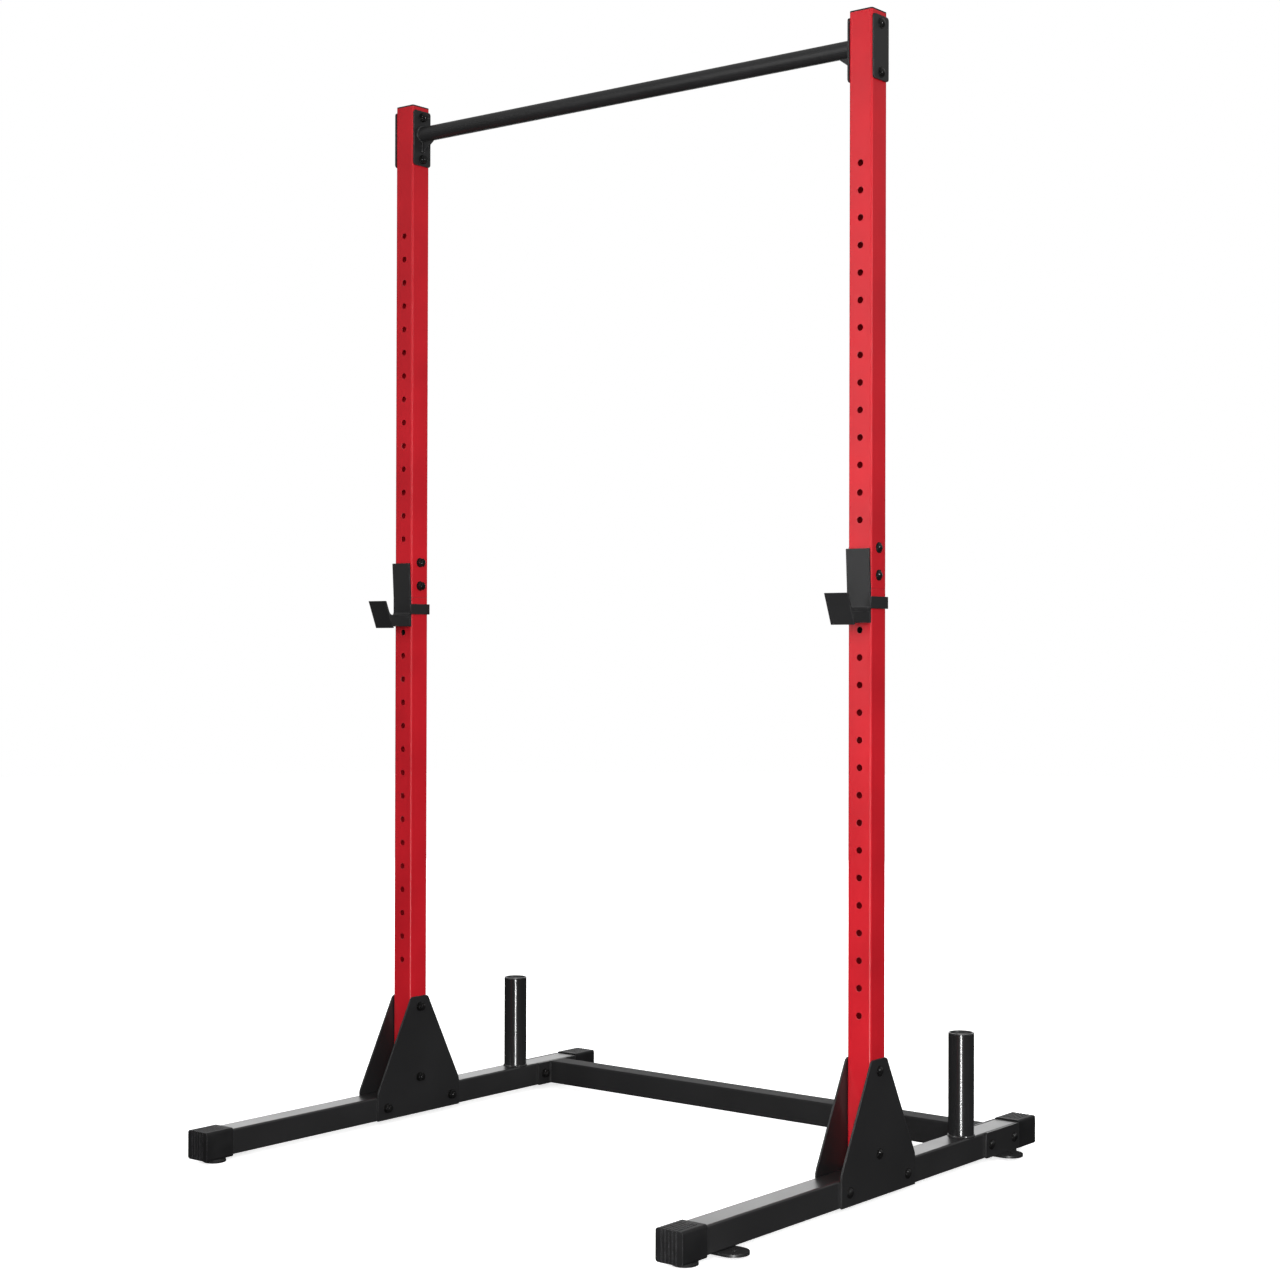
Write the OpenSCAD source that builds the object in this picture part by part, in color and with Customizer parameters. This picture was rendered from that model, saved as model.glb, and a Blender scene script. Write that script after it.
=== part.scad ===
// Two-post strength rack: two drilled red uprights on black floor runners, tied together by a
// round pull-up bar at the top and a square crossbar at the rear, with two lift-off bar hooks.
// +Z is up, the hooks face -Y, and the origin is on the floor midway between the uprights.

/* [Frame] */
// Distance between the two uprights, centre to centre
upright_gap = 1160; // [1000:10:1300]
// Outside width of every square tube
tube_w = 50; // [48:1:52]
// Wall of the square tubes
tube_wall = 2; // [1.5:0.5:3]
// Outside corner radius of the square tubes
tube_r = 4; // [3:0.5:6]
// Length of one floor runner without its end caps
runner_len = 1160; // [1120:10:1240]

/* [Uprights] */
// Spacing of the holes in the uprights
hole_pitch = 50; // [50:1:52]
// Diameter of the holes in the uprights
hole_d = 12; // [11.8:0.2:13]
// Holes in each half of an upright
holes_per_half = 16; // [14:1:18]
// Distance from the outer end of each half to its first hole
end_margin = 277.5; // [270:0.5:300]
// Diameter of all through bolts
bolt_d = 10; // [8:1:10]

/* [Gusset plates] */
// Thickness of every flat plate
plate_t = 4; // [3:0.5:5]
// Width of a gusset at the floor
gusset_w = 246; // [230:2:260]
// Height of a gusset's top edge above the floor
gusset_top = 261.5; // [255:0.5:270]

/* [Pull-up bar] */
// Diameter of the pull-up bar
bar_d = 32; // [28:1:34]
// Depth of the bar's axis below the top of the uprights
bar_drop = 59.5; // [56:0.5:62]

/* [Rear crossbar and posts] */
// Distance of the rear crossbar behind the uprights
crossbar_y = 452; // [445:1:454]
// Distance of the plate posts behind the uprights
post_y = 339; // [330:1:345]
// Diameter of the plate posts
post_d = 50; // [48:0.5:50]
// Height of the plate posts above the runners
post_h = 200; // [150:5:220]

/* [Bar hooks] */
// Number of the upright hole, counted from the floor, that holds the hooks
hook_hole = 16; // [8:1:16]
// Width of the hooks' bent strip
hook_w = 50; // [46:1:50]
// Height of the back plate above the hook's pin
hook_back_h = 98; // [80:1:110]
// Depth of the bar cradle below the hook's pin
hook_floor_drop = 13; // [10:1:16]

/* [Hidden] */
$fn = 64;

RED = [0.70, 0.08, 0.12];
BLACK = [0.12, 0.12, 0.13];
STEEL = [0.20, 0.20, 0.21];
PLASTIC = [0.08, 0.08, 0.08];
RUBBER = [0.05, 0.05, 0.05];

// Clearances: a slack fit between fixed pieces, and a running gap to the lift-off hooks
fit_gap = 0.1;
run_gap = 0.3;
cut_extra = 1;

// Floor runner, its caps and feet
half_gap = upright_gap / 2;
half_w = tube_w / 2;
cap_wall = 3;
cap_end = 5;
cap_len = 67;
foot_h = 9;
foot_r = 22.5;
front_foot_y = 542;
rear_foot_y = 512;
runner_z = foot_h + cap_wall;
runner_mid = runner_z + half_w;
runner_top = runner_z + tube_w;
runner_end = runner_len / 2;
groove_w = 2;
groove_depth = 1.2;
groove_run = 55;
groove_pitch = 7.5;

// Floor tabs
tab_t = 5;
tab_r = 27.5;
tab_reach = 40;
tab_y = 460;
tab_hole_x = half_gap + half_w + 15;
tab_hole_r = 5.5;

// Uprights: two equal halves that meet at the splice
seam_margin = hole_pitch / 2;
half_len = end_margin + (holes_per_half - 1) * hole_pitch + seam_margin;
first_hole = runner_top + end_margin;
seam_z = runner_top + half_len;
upright_top = runner_top + 2 * half_len;
function hole_z(n) = first_hole + (n - 1) * hole_pitch;
sleeve_len = 200;
sleeve_wall = 2;
sleeve_w = tube_w - 2 * tube_wall - 4 * fit_gap;
inner_r = tube_r - tube_wall;
plug_head = 2.5;
plug_len = 14;

// Fasteners
bolt_r = bolt_d / 2;
bolt_hole_r = bolt_r + 0.25;
washer_t = 1.5;
washer_r = bolt_d;
head_h = 5;
head_r = 0.875 * bolt_d;
nut_h = 8;
hex_r = 1.7 * bolt_r / cos(30);
bolt_tip = 3;
plated = half_w + plate_t;

// Bolt places as [y, z]
gusset_mid_z = hole_z(1) - 5 * hole_pitch;
gusset_points = [[0, hole_z(1) - 2 * hole_pitch], [0, gusset_mid_z], [-97, runner_mid], [97, runner_mid]];
splice_points = [for (n = [1:2]) [0, hole_z(holes_per_half + n)]];
bar_z = upright_top - bar_drop;
bar_plate_h = 118;
bar_plate_z = bar_z - 8;
bar_points = [for (k = [-1, 1]) [0, bar_plate_z + 45 * k]];
crossbar_plate_len = 130;
crossbar_points = [for (k = [-1, 1]) [crossbar_y + 45 * k, runner_mid]];
corner_r = 6;

// Bar hook, as distances ahead of the upright's face and above the pin
hook_z = hole_z(hook_hole);
hook_t = 4;
hook_bottom = -37;
hook_bend_z = 24;
hook_lean = 4;
lip_top = 16;
lip_bottom = -41;
lip_reach_low = 56.5;
lip_reach_high = 79;
hook_face = run_gap + hook_t;
lip_slope = (lip_reach_high - lip_reach_low) / (lip_top - lip_bottom);
lip_t = hook_t * sqrt(1 + lip_slope * lip_slope);
function lip_inner(z) = lip_reach_low + (z - lip_bottom) * lip_slope - lip_t;
strap_h = 22;
strap_t = 3;
strap_back = tube_w + 2.3;
pin_r = hole_d / 2 - 0.4;
pin_len = tube_w - 1;
web_t = 3;

// An outline with every corner replaced by an arc of radius r
function unit(v) = v / norm(v);
function corner_arc(a, p, b, r, steps) =
    let (u = unit(a - p), v = unit(b - p), half = acos(u * v) / 2,
         c = p + unit(u + v) * r / sin(half),
         d0 = p + u * r / tan(half) - c, d1 = p + v * r / tan(half) - c,
         from = atan2(d0[1], d0[0]), turn = atan2(cross(d0, d1), d0 * d1))
    [for (i = [0:steps]) c + r * [cos(from + turn * i / steps), sin(from + turn * i / steps)]];
function rounded(points, r, steps = 6) =
    let (n = len(points))
    [for (i = [0:n - 1]) each corner_arc(points[(i + n - 1) % n], points[i], points[(i + 1) % n], r, steps)];
function box_outline(w, h) = [[-w / 2, -h / 2], [w / 2, -h / 2], [w / 2, h / 2], [-w / 2, h / 2]];

// Square with round corners, and tubes made from it
module round_square(w, r) {
    union() {
        square([w - 2 * r, w], center = true);
        square([w, w - 2 * r], center = true);
        for (x = [-1, 1], y = [-1, 1])
            translate([x * (w / 2 - r), y * (w / 2 - r)]) circle(r);
    }
}

module square_tube(w, wall, r, length) {
    linear_extrude(length) difference() {
        round_square(w, r);
        round_square(w - 2 * wall, r - wall);
    }
}

// A cylinder along X or along Y, centred on a point
module rod_x(r, length, at) {
    translate(at) rotate([0, 90, 0]) cylinder(r = r, h = length, center = true);
}

module rod_y(r, length, at) {
    translate(at) rotate([90, 0, 0]) cylinder(r = r, h = length, center = true);
}

// A plate standing in the Y-Z plane with its inner face at x, drilled for the bolts
module side_plate(side, outward, outline, points) {
    inner = side * half_gap + side * outward * (half_w + (outward > 0 ? 0 : plate_t));
    outer = side * half_gap + side * outward * (half_w + (outward > 0 ? plate_t : 0));
    start = min(inner, outer);
    difference() {
        translate([start, 0, 0]) rotate([90, 0, 90]) linear_extrude(plate_t) polygon(outline);
        for (p = points) rod_x(bolt_hole_r, 4 * plate_t, [start + plate_t / 2, p[0], p[1]]);
    }
}

// Places its children at each bolt point of one side, with +Z pointing away from the rack's middle
module at_bolts(side, points) {
    for (p = points)
        translate([side * half_gap, p[0], p[1]]) rotate([0, side * 90, 0]) children();
}

module dome_bolt(stack) {
    seat = stack + washer_t;
    dome_r = (head_r * head_r + head_h * head_h) / (2 * head_h);
    color(STEEL) union() {
        translate([0, 0, seat]) intersection() {
            cylinder(r = head_r + 1, h = head_h + 1);
            translate([0, 0, head_h - dome_r]) sphere(dome_r);
        }
        translate([0, 0, -seat - nut_h - bolt_tip])
            cylinder(r = bolt_r, h = 2 * seat + nut_h + bolt_tip);
    }
}

module lock_nut(stack) {
    seat = stack + washer_t;
    color(STEEL) translate([0, 0, -seat - nut_h]) difference() {
        union() {
            translate([0, 0, 2]) cylinder(r = hex_r, h = nut_h - 2, $fn = 6);
            cylinder(r = hex_r - 2, h = 3);
        }
        translate([0, 0, -cut_extra]) cylinder(r = bolt_r + 0.02, h = nut_h + 2 * cut_extra);
    }
}

module washer_pair(stack) {
    color(STEEL) for (k = [-1, 1])
        translate([0, 0, k * (stack + washer_t / 2)]) difference() {
            cylinder(r = washer_r, h = washer_t, center = true);
            cylinder(r = bolt_hole_r, h = 2 * washer_t, center = true);
        }
}

// Floor runner: square tube along Y, drilled across for the gussets and the crossbar plates
module base_tube(side) {
    color(BLACK) difference() {
        translate([side * half_gap, -runner_end, runner_mid]) rotate([-90, 0, 0])
            square_tube(tube_w, tube_wall, tube_r, runner_len);
        for (p = concat([gusset_points[2], gusset_points[3]], crossbar_points))
            rod_x(bolt_hole_r, tube_w + 2 * cut_extra, [side * half_gap, p[0], p[1]]);
    }
}

// Moulded sleeve over a runner's end; end is -1 at the front and 1 at the rear
module end_cap(side, end) {
    wide = tube_w + 2 * cap_wall;
    color(PLASTIC) translate([side * half_gap, end * (runner_end + cap_end), runner_mid])
        rotate([end * 90, 0, 0]) difference() {
            linear_extrude(cap_len) round_square(wide, tube_r + cap_wall);
            translate([0, 0, cap_end]) linear_extrude(cap_len) round_square(tube_w + 2 * fit_gap, tube_r);
            for (k = [-2:2])
                translate([k * groove_pitch - groove_w / 2, 0, 0]) {
                    translate([0, -wide / 2 - cut_extra, -cut_extra])
                        cube([groove_w, wide + 2 * cut_extra, groove_depth + cut_extra]);
                    translate([0, end > 0 ? wide / 2 - groove_depth : -wide / 2 - cut_extra, -cut_extra])
                        cube([groove_w, groove_depth + cut_extra, groove_run + cut_extra]);
                }
        }
}

// Round rubber pads: the front pair under the caps, the rear pair stepped to meet both the
// cap and the runner's underside
module foot_pads() {
    step_y = runner_end + cap_end - cap_len - fit_gap - rear_foot_y;
    color(RUBBER) for (side = [-1, 1]) {
        translate([side * half_gap, -front_foot_y, 0]) cylinder(r = foot_r, h = foot_h);
        translate([side * half_gap, rear_foot_y, 0]) {
            cylinder(r = foot_r, h = foot_h);
            intersection() {
                cylinder(r = foot_r, h = runner_z);
                translate([-foot_r, -foot_r, 0]) cube([2 * foot_r, foot_r + step_y, runner_z]);
            }
        }
    }
}

// Bolt-down tabs welded under a runner, on its outer side
module floor_tabs(side) {
    round_x = half_gap + half_w + tab_reach - tab_r;
    color(BLACK) for (end = [-1, 1])
        translate([0, end * tab_y, runner_z - tab_t]) difference() {
            linear_extrude(tab_t) union() {
                translate([side * round_x, 0]) circle(tab_r);
                translate([side * (half_gap + round_x) / 2, 0])
                    square([round_x - half_gap, 2 * tab_r], center = true);
            }
            translate([side * tab_hole_x, 0, -cut_extra])
                cylinder(r = tab_hole_r, h = tab_t + 2 * cut_extra);
        }
}

// One half of an upright: square tube with a row of holes drilled from front to back
module upright_half(side, z0, first, last, cross_points) {
    color(RED) difference() {
        translate([side * half_gap, 0, z0]) square_tube(tube_w, tube_wall, tube_r, half_len);
        for (n = [first:last])
            rod_y(hole_d / 2, tube_w + 2 * cut_extra, [side * half_gap, 0, hole_z(n)]);
        for (p = cross_points)
            rod_x(bolt_hole_r, tube_w + 2 * cut_extra, [side * half_gap, p[0], p[1]]);
    }
}

module lower_upright(side) {
    upright_half(side, runner_top, 1, holes_per_half, [gusset_points[0], gusset_points[1]]);
}

// The splice bolts take the place of the upper half's first two holes
module upper_upright(side) {
    upright_half(side, seam_z, holes_per_half + 3, 2 * holes_per_half, concat(splice_points, bar_points));
}

// Inner sleeve welded into the lower half and bolted inside the upper half
module splice_sleeve(side) {
    color(STEEL) difference() {
        translate([side * half_gap, 0, seam_z - sleeve_len / 2])
            square_tube(sleeve_w, sleeve_wall, inner_r, sleeve_len);
        for (n = [holes_per_half - 1:holes_per_half])
            rod_y(hole_d / 2, tube_w, [side * half_gap, 0, hole_z(n)]);
        for (p = splice_points) rod_x(bolt_hole_r, tube_w, [side * half_gap, p[0], p[1]]);
    }
}

// Push-in plastic plug that closes the top of an upright, flush with its outside
module top_plug(side) {
    color(PLASTIC) translate([side * half_gap, 0, upright_top]) union() {
        linear_extrude(plug_head) round_square(tube_w, tube_r);
        translate([0, 0, -plug_len]) difference() {
            linear_extrude(plug_len) round_square(sleeve_w, inner_r);
            translate([0, 0, -cut_extra]) linear_extrude(plug_len - 1) round_square(sleeve_w - 5, inner_r);
        }
    }
}

// Gusset: narrow at the upright, wide over the runner
module gusset(side, outward) {
    knee = runner_top + 8;
    outline = [[-gusset_w / 2, runner_z], [gusset_w / 2, runner_z], [gusset_w / 2, knee],
               [half_w, gusset_top], [-half_w, gusset_top], [-gusset_w / 2, knee]];
    color(BLACK) side_plate(side, outward, rounded(outline, corner_r), gusset_points);
}

module gusset_bolts(side) { at_bolts(side, gusset_points) dome_bolt(plated); }

module gusset_nuts(side) { at_bolts(side, gusset_points) lock_nut(plated); }

module splice_bolts() { for (side = [-1, 1]) at_bolts(side, splice_points) dome_bolt(half_w); }

module splice_nuts() { for (side = [-1, 1]) at_bolts(side, splice_points) lock_nut(half_w); }

module washers(side) {
    at_bolts(side, concat(gusset_points, bar_points, crossbar_points)) washer_pair(plated);
    at_bolts(side, splice_points) washer_pair(half_w);
}

// Round bar between the uprights, with its welded end plates and the webs under it
module pull_up_bar() {
    span = upright_gap - tube_w - 2 * plate_t;
    color(BLACK) difference() {
        rod_x(bar_d / 2, span, [0, 0, bar_z]);
        rod_x(bar_d / 2 - 2, span + 2 * cut_extra, [0, 0, bar_z]);
    }
}

module bar_plate(side, outward) {
    outline = [for (p = rounded(box_outline(tube_w, bar_plate_h), corner_r)) p + [0, bar_plate_z]];
    color(BLACK) side_plate(side, outward, outline, bar_points);
}

module bar_web(side) {
    web_x = 32;
    web_z = 24;
    face = half_gap - plated;
    low = bar_z - bar_d / 2;
    outline = [[face, low - web_z], [face, low + 2], [face - web_x, low + 2], [face - web_x, low - 1]];
    color(BLACK) difference() {
        translate([0, plate_t / 2, 0]) rotate([90, 0, 0]) linear_extrude(plate_t)
            polygon([for (p = outline) [side * p[0], p[1]]]);
        rod_x(bar_d / 2, upright_gap, [0, 0, bar_z]);
    }
}

module bar_bolts() { for (side = [-1, 1]) at_bolts(side, bar_points) dome_bolt(plated); }

module bar_nuts() { for (side = [-1, 1]) at_bolts(side, bar_points) lock_nut(plated); }

// Square crossbar between the runners behind the uprights, with its bolted end plates
module rear_crossbar() {
    span = upright_gap - tube_w - 2 * plate_t;
    color(BLACK) translate([-span / 2, crossbar_y, runner_mid]) rotate([0, 90, 0])
        square_tube(tube_w, tube_wall, tube_r, span);
}

module crossbar_plate(side, outward) {
    outline = [for (p = rounded(box_outline(crossbar_plate_len, tube_w), corner_r / 2))
               p + [crossbar_y, runner_mid]];
    color(BLACK) side_plate(side, outward, outline, crossbar_points);
}

module crossbar_bolts() { for (side = [-1, 1]) at_bolts(side, crossbar_points) dome_bolt(plated); }

module crossbar_nuts() { for (side = [-1, 1]) at_bolts(side, crossbar_points) lock_nut(plated); }

// Round post welded on a runner for spare weight plates, closed by a dished plug
module plate_post(side) {
    color(BLACK) translate([side * half_gap, post_y, runner_top]) difference() {
        cylinder(d = post_d, h = post_h - plug_head);
        translate([0, 0, -cut_extra]) cylinder(d = post_d - 5, h = post_h + 2 * cut_extra);
    }
}

module post_plug(side) {
    rim = 3;
    color(PLASTIC) translate([side * half_gap, post_y, runner_top + post_h - plug_head]) difference() {
        union() {
            cylinder(d = post_d, h = plug_head);
            translate([0, 0, -plug_len]) cylinder(d = post_d - 5 - 2 * fit_gap, h = plug_len);
        }
        translate([0, 0, -2]) cylinder(d = post_d - 2 * rim, h = plug_head + 2 + cut_extra);
        translate([0, 0, -plug_len - cut_extra]) cylinder(d = post_d - 11, h = plug_len - 4);
    }
}

// Puts a hook's own side view, drawn as [ahead of the face, above the pin], onto its upright
module hook_section(side, x0, width, outline) {
    translate([side * half_gap + x0 + width, -half_w, hook_z]) rotate([90, 0, -90])
        linear_extrude(width) polygon(outline);
}

// Bent steel strip: back plate, cradle floor and sloping lip in one piece
module hook_strip(side) {
    under = -hook_floor_drop - hook_t;
    bend_r = 7;
    inside_bend = corner_arc([hook_face, hook_bend_z], [hook_face, -hook_floor_drop],
                             [lip_inner(-hook_floor_drop), -hook_floor_drop], bend_r, 6);
    lip_bend = corner_arc([hook_face, -hook_floor_drop], [lip_inner(-hook_floor_drop), -hook_floor_drop],
                          [lip_inner(lip_top), lip_top], bend_r, 6);
    outline = concat(
        [[hook_face + hook_lean, hook_back_h], [hook_face, hook_bend_z]], inside_bend, lip_bend,
        [[lip_inner(lip_top), lip_top], [lip_reach_high, lip_top], [lip_reach_low, lip_bottom],
         [lip_reach_low - lip_t, lip_bottom], [lip_inner(under), under], [hook_face, under],
         [hook_face, hook_bottom], [run_gap, hook_bottom], [run_gap, hook_bend_z],
         [run_gap + hook_lean, hook_back_h]]);
    color(BLACK) hook_section(side, -hook_w / 2, hook_w, outline);
}

// Two side webs that box in the strip under the cradle
module hook_webs(side) {
    under = -hook_floor_drop - hook_t;
    outline = [[hook_face, under], [lip_inner(under), under], [lip_inner(hook_bottom), hook_bottom],
               [hook_face, hook_bottom]];
    color(BLACK) {
        hook_section(side, -hook_w / 2, web_t, outline);
        hook_section(side, hook_w / 2 - web_t, web_t, outline);
    }
}

// Flat strap along the upright's +X face that stops the hook from turning on its pin
module hook_strap(side) {
    outline = [[hook_w / 2, run_gap], [hook_w / 2, hook_face], [half_w + run_gap + strap_t, hook_face],
               [half_w + run_gap + strap_t, -strap_back], [half_w + run_gap, -strap_back],
               [half_w + run_gap, run_gap]];
    color(BLACK) translate([side * half_gap, -half_w, hook_z - strap_h / 2])
        linear_extrude(strap_h) polygon([for (p = outline) [p[0], -p[1]]]);
}

// Pin welded behind the back plate, through the upright's front and rear holes
module hook_pin(side) {
    tip = 3;
    color(STEEL) translate([side * half_gap, -half_w - run_gap, hook_z]) rotate([-90, 0, 0]) union() {
        cylinder(r = pin_r, h = pin_len - tip + run_gap);
        translate([0, 0, pin_len - tip + run_gap]) cylinder(r1 = pin_r, r2 = pin_r - 2, h = tip);
    }
}

base_tube(-1);  // base_tube_left
base_tube(1);  // base_tube_right
end_cap(-1, -1);  // front_cap_left
end_cap(1, -1);  // front_cap_right
end_cap(-1, 1);  // rear_cap_left
end_cap(1, 1);  // rear_cap_right
foot_pads();
floor_tabs(-1);  // floor_tabs_left
floor_tabs(1);  // floor_tabs_right
lower_upright(-1);  // lower_upright_left
lower_upright(1);  // lower_upright_right
upper_upright(-1);  // upper_upright_left
upper_upright(1);  // upper_upright_right
splice_sleeve(-1);  // splice_sleeve_left
splice_sleeve(1);  // splice_sleeve_right
top_plug(-1);  // top_plug_left
top_plug(1);  // top_plug_right
gusset(-1, 1);  // gusset_outer_left
gusset(-1, -1);  // gusset_inner_left
gusset(1, 1);  // gusset_outer_right
gusset(1, -1);  // gusset_inner_right
gusset_bolts(-1);  // gusset_bolts_left
gusset_bolts(1);  // gusset_bolts_right
gusset_nuts(-1);  // gusset_nuts_left
gusset_nuts(1);  // gusset_nuts_right
splice_bolts();
splice_nuts();
washers(-1);  // washers_left
washers(1);  // washers_right
pull_up_bar();
bar_plate(-1, -1);  // bar_end_plate_left
bar_plate(1, -1);  // bar_end_plate_right
bar_web(-1);  // bar_web_left
bar_web(1);  // bar_web_right
bar_plate(-1, 1);  // bar_backing_plate_left
bar_plate(1, 1);  // bar_backing_plate_right
bar_bolts();
bar_nuts();
rear_crossbar();
crossbar_plate(-1, -1);  // crossbar_end_plate_left
crossbar_plate(1, -1);  // crossbar_end_plate_right
crossbar_plate(-1, 1);  // crossbar_backing_plate_left
crossbar_plate(1, 1);  // crossbar_backing_plate_right
crossbar_bolts();
crossbar_nuts();
plate_post(-1);  // plate_post_left
plate_post(1);  // plate_post_right
post_plug(-1);  // post_plug_left
post_plug(1);  // post_plug_right
hook_strip(-1);  // hook_strip_left
hook_webs(-1);  // hook_webs_left
hook_strap(-1);  // hook_strap_left
hook_pin(-1);  // hook_pin_left
hook_strip(1);  // hook_strip_right
hook_webs(1);  // hook_webs_right
hook_strap(1);  // hook_strap_right
hook_pin(1);  // hook_pin_right
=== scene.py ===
from math import atan2, cos, pi, radians, sin

import bmesh
import bpy
from mathutils import Matrix, Vector


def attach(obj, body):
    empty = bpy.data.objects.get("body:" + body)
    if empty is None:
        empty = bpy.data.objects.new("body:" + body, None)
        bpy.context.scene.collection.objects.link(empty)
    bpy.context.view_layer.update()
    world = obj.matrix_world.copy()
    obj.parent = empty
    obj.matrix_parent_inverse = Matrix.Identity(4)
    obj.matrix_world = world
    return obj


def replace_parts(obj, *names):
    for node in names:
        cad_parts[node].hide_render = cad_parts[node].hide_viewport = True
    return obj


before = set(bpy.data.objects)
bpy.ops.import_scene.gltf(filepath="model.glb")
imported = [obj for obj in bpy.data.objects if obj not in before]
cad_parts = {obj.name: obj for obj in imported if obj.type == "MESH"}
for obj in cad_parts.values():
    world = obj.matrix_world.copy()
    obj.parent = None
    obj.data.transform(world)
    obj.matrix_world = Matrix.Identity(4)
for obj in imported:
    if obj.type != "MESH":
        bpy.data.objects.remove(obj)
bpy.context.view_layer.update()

# ---- Camera ----
# Near the floor's right front corner, at chest height and almost level, so both uprights
# show their drilled front faces and the pull-up bar runs away to the left.
camera_data = bpy.data.cameras.new("camera")
camera_data.sensor_width = 36.0
camera_data.lens = 62.296875
camera_data.clip_end = 60.0
camera = bpy.data.objects.new("camera", camera_data)
bpy.context.scene.collection.objects.link(camera)
camera.location = (2.779, -3.416, 0.9966)
camera_turn, camera_tilt, camera_roll = radians(38.622), radians(-0.340), radians(0.143)
look = Vector((-sin(camera_turn) * cos(camera_tilt), cos(camera_turn) * cos(camera_tilt),
               -sin(camera_tilt)))
facing = look.to_track_quat("-Z", "Y").to_matrix() @ Matrix.Rotation(camera_roll, 3, "Z")
camera.rotation_euler = facing.to_euler()
bpy.context.scene.camera = camera

# ---- Floor runners ----
# Two lengths of 50 mm square steel tube with a 2 mm wall lie front to back, one on each
# side. They are sawn to length, deburred and powder coated black; the round outer corners
# come from the tube mill.
TUBE, TUBE_WALL, TUBE_CORNER = 0.05, 0.002, 0.004
SIDE_X = 0.58
RUNNER_LOW, RUNNER_TOP = 0.012, 0.062
RUNNER_END = 0.58


def start_from(shape, name, **settings):
    """Adds one primitive at its size and place, with nothing else selected, ready to shape."""
    if bpy.context.mode != "OBJECT":
        bpy.ops.object.mode_set(mode="OBJECT")
    bpy.ops.object.select_all(action="DESELECT")
    getattr(bpy.ops.mesh, f"primitive_{shape}_add")(**settings)
    part = bpy.context.object
    part.name = part.data.name = name
    bpy.ops.object.transform_apply(location=True, rotation=True, scale=True)
    bpy.ops.object.mode_set(mode="EDIT")
    return part


def pick(kind, test):
    """Selects the faces, edges or points whose place and direction pass a test."""
    bpy.ops.mesh.select_mode(type=kind)
    bpy.ops.mesh.select_all(action="DESELECT")
    shape = bmesh.from_edit_mesh(bpy.context.object.data)
    if kind == "FACE":
        chosen = [f for f in shape.faces if test(f.calc_center_median(), f.normal)]
    elif kind == "EDGE":
        ends = [(e, e.verts[0].co, e.verts[1].co) for e in shape.edges]
        chosen = [e for e, a, b in ends if test((a + b) / 2, (b - a).normalized())]
    else:
        chosen = [v for v in shape.verts if test(v.co)]
    for one in chosen:
        one.select_set(True)
    shape.select_flush_mode()
    bmesh.update_edit_mesh(bpy.context.object.data)


def pull(x=0.0, y=0.0, z=0.0):
    """Extrudes what is selected by a distance along each axis."""
    bpy.ops.mesh.extrude_region_move(TRANSFORM_OT_translate={"value": (x, y, z)})


def square_tube(name, low, high, along):
    """Mill-rolled square tube between two corners, hollow from end to end along one axis."""
    low, high = Vector(low), Vector(high)
    tube = start_from("cube", name, size=1, location=(low + high) / 2, scale=high - low)
    pick("EDGE", lambda at, run: abs(run[along]) > 0.9)
    bpy.ops.mesh.bevel(offset=TUBE_CORNER, segments=5, affect="EDGES")
    pick("FACE", lambda at, out: abs(out[along]) > 0.9)
    bpy.ops.mesh.inset(thickness=TUBE_WALL)
    bpy.ops.mesh.bridge_edge_loops()
    bpy.ops.mesh.select_all(action="SELECT")
    bpy.ops.mesh.normals_make_consistent(inside=False)
    return tube


def deburr(part, width, steps=2, sharper_than=35):
    """Breaks every sharp edge of a part by a small width and leaves its flats looking flat."""
    if bpy.context.mode != "OBJECT":
        bpy.ops.object.mode_set(mode="OBJECT")
    bpy.ops.object.select_all(action="DESELECT")
    bpy.context.view_layer.objects.active = part
    part.select_set(True)
    if width:
        edges = part.modifiers.new("broken_edges", "BEVEL")
        edges.width, edges.segments = width, steps
        edges.limit_method, edges.angle_limit = "ANGLE", radians(sharper_than)
        bpy.ops.object.modifier_apply(modifier=edges.name)
    bpy.ops.object.shade_smooth_by_angle(angle=radians(40))
    flats = part.modifiers.new("flat_faces", "WEIGHTED_NORMAL")
    flats.keep_sharp = True
    bpy.ops.object.modifier_apply(modifier=flats.name)
    part.select_set(False)
    return part


def second_of(part, name, shift=(0, 0, 0), turn=0.0):
    """Another of the same part, with its own mesh, turned about the rack's middle and shifted."""
    bpy.ops.object.select_all(action="DESELECT")
    twin = part.copy()
    twin.data = part.data.copy()
    twin.name = twin.data.name = name
    bpy.context.scene.collection.objects.link(twin)
    twin.rotation_euler = (0, 0, turn)
    twin.location = shift
    bpy.context.view_layer.objects.active = twin
    twin.select_set(True)
    bpy.ops.object.transform_apply(location=True, rotation=True, scale=True)
    twin.select_set(False)
    return twin


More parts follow.
